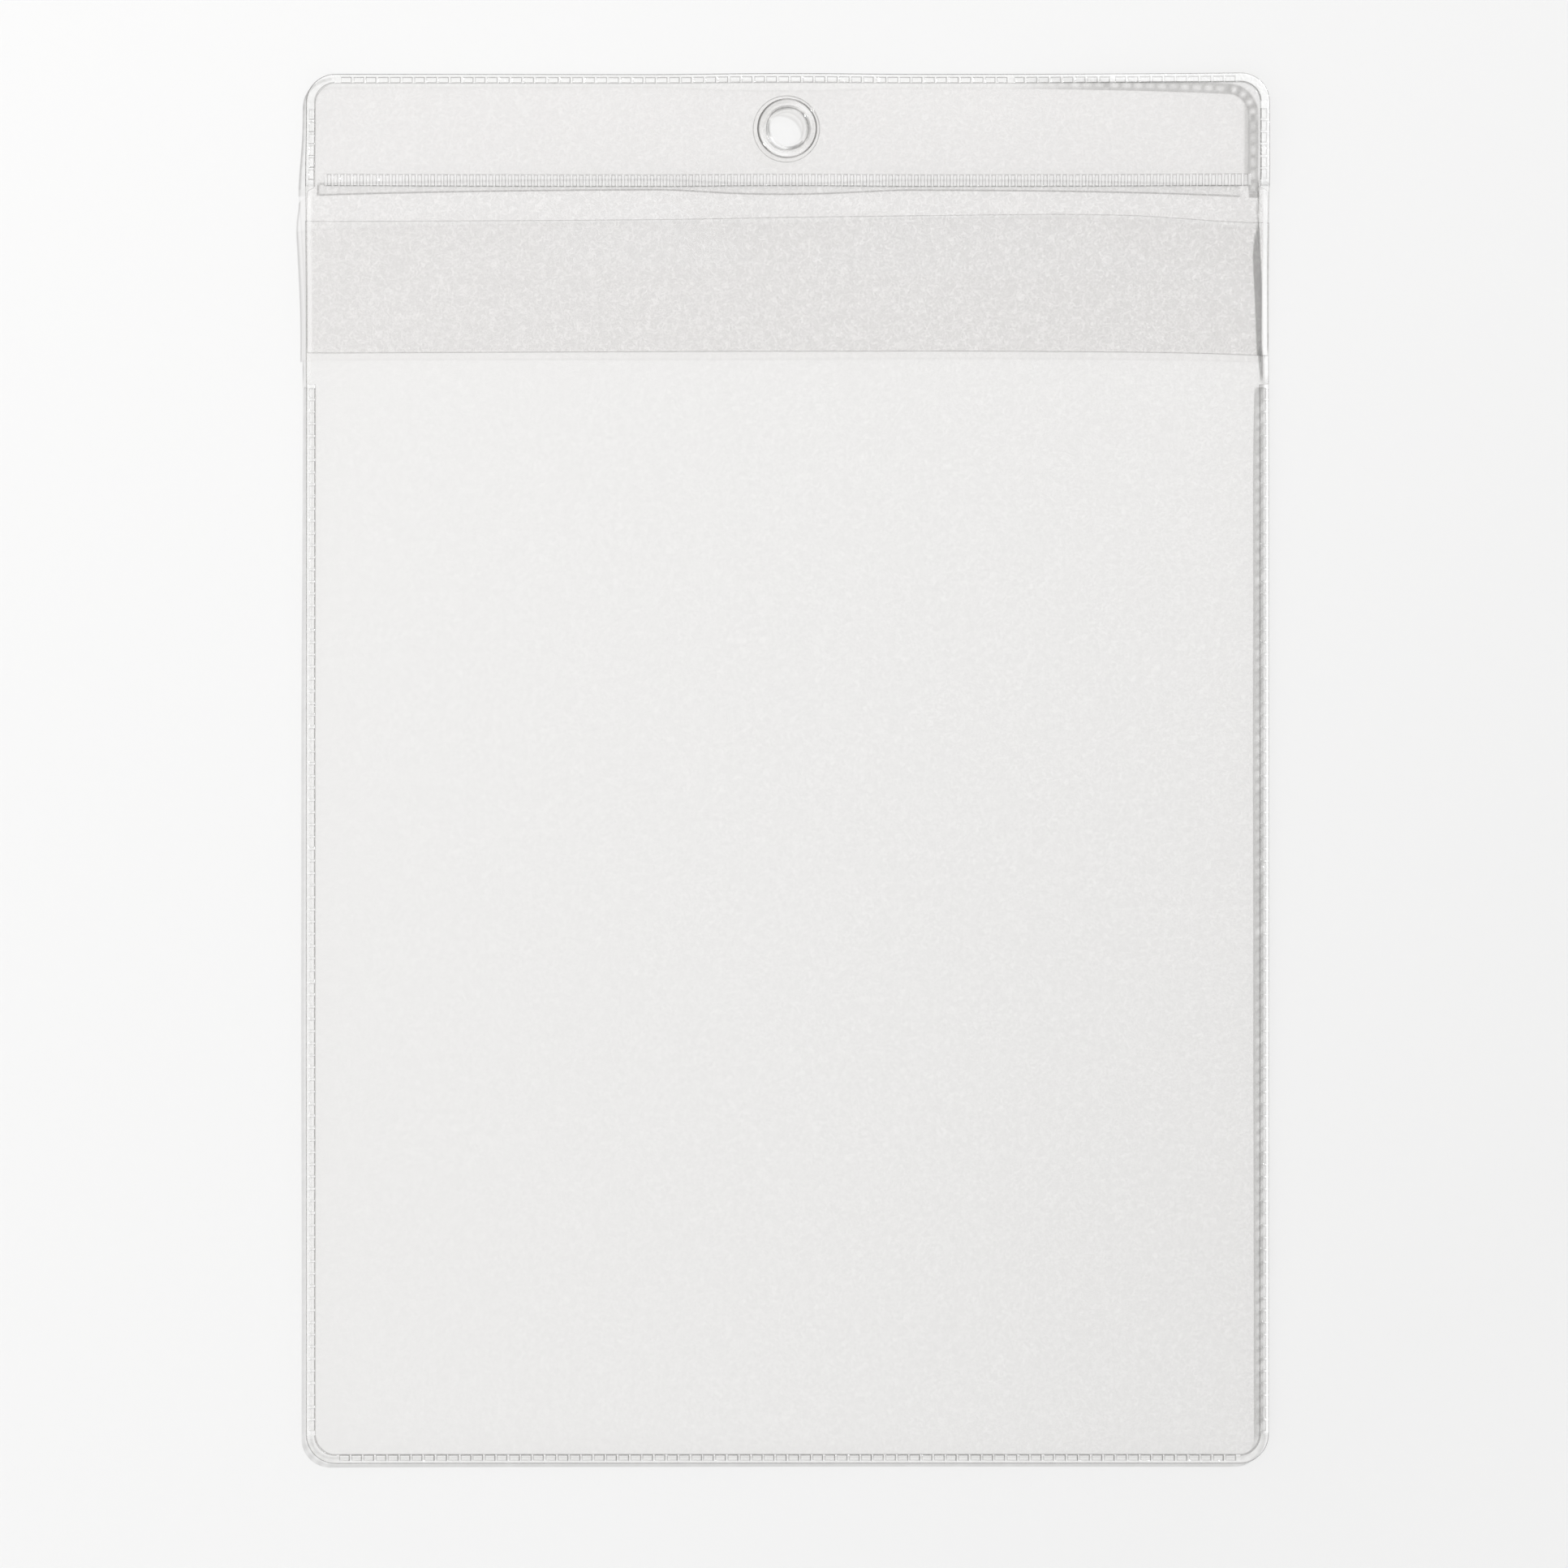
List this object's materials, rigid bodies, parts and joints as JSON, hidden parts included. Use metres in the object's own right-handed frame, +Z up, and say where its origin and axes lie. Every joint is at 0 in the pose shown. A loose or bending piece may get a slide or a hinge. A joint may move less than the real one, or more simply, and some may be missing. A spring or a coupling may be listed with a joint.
{
  "type": "hanging display pocket",
  "caption": "Clear vinyl document pocket in portrait format with welded edges, a loose flap over its mouth and a plastic eyelet in a welded header to hang it by.",
  "frame": {"origin": "middle of the eyelet's hole, on the plane where the header film lies on the back sheet", "axes": "+Z up along the pocket's height, +X to the right across its width as seen from the front, -Y out of the front"},
  "size_m": [0.23, 0.0038, 0.332],
  "materials": {
    "clear_film": "clear soft vinyl film with a faint grain",
    "welded_film": "clear vinyl pressed into small cells by the welding die",
    "eyelet_plastic": "smooth clear moulded plastic"
  },
  "bodies": {
    "pocket": {"back_sheet": "clear_film", "header_strip": "clear_film", "front_panel": "clear_film", "header_weld": "welded_film", "header_seam": "welded_film", "pocket_weld": "welded_film", "eyelet": "eyelet_plastic", "eyelet_washer": "eyelet_plastic"},
    "flap": {"flap_root": "clear_film", "flap": "clear_film"}
  },
  "joints": [
    {"name": "flap_fold", "type": "hinge", "parent": "pocket", "child": "flap", "pos_m": [0, -0.0006, -0.0141], "axis": [-1, 0, 0], "range_deg": [0, 160]}
  ]
}
